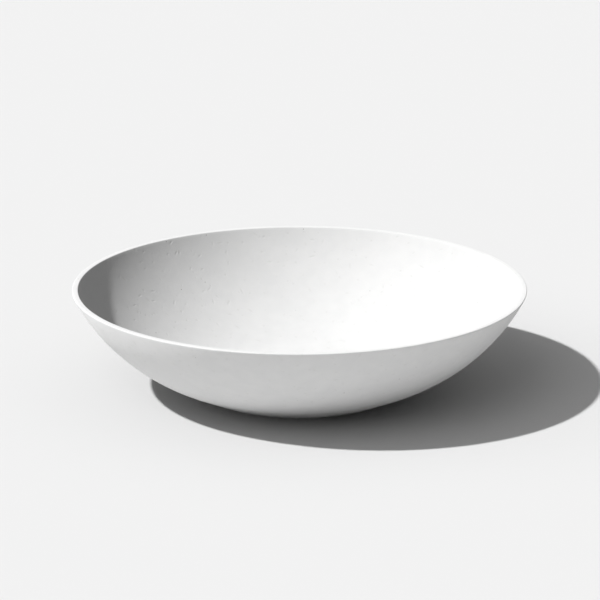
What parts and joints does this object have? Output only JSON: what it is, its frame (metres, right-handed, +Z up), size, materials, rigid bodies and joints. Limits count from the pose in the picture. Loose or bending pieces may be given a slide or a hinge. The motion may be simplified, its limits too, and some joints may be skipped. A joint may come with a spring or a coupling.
{
  "type": "bowl planter",
  "caption": "Wide, shallow round bowl planter with a flat lip, a low ring foot, and rubber plugs that pull out of the drain holes in its floor.",
  "frame": {"origin": "on the ground, at the centre of the foot", "axes": "+Z up along the bowl's axis; +X to the right and -Y to the front"},
  "size_m": [0.61, 0.61, 0.143],
  "materials": {
    "bowl": "matt white stone-filled plastic with fine specks and pits",
    "plug": "soft matt black rubber"
  },
  "bodies": {
    "bowl": {"bowl_shell": "bowl"},
    "plug_centre": {"drain_plug_centre": "plug"},
    "plug_right": {"drain_plug_right": "plug"},
    "plug_back": {"drain_plug_back": "plug"},
    "plug_left": {"drain_plug_left": "plug"},
    "plug_front": {"drain_plug_front": "plug"}
  },
  "joints": [
    {"name": "lift_plug_centre", "type": "slide", "parent": "bowl", "child": "plug_centre", "axis": [0, 0, 1], "range_m": [0, 0.025]},
    {"name": "lift_plug_right", "type": "slide", "parent": "bowl", "child": "plug_right", "axis": [0, 0, 1], "range_m": [0, 0.025]},
    {"name": "lift_plug_back", "type": "slide", "parent": "bowl", "child": "plug_back", "axis": [0, 0, 1], "range_m": [0, 0.025]},
    {"name": "lift_plug_left", "type": "slide", "parent": "bowl", "child": "plug_left", "axis": [0, 0, 1], "range_m": [0, 0.025]},
    {"name": "lift_plug_front", "type": "slide", "parent": "bowl", "child": "plug_front", "axis": [0, 0, 1], "range_m": [0, 0.025]}
  ]
}
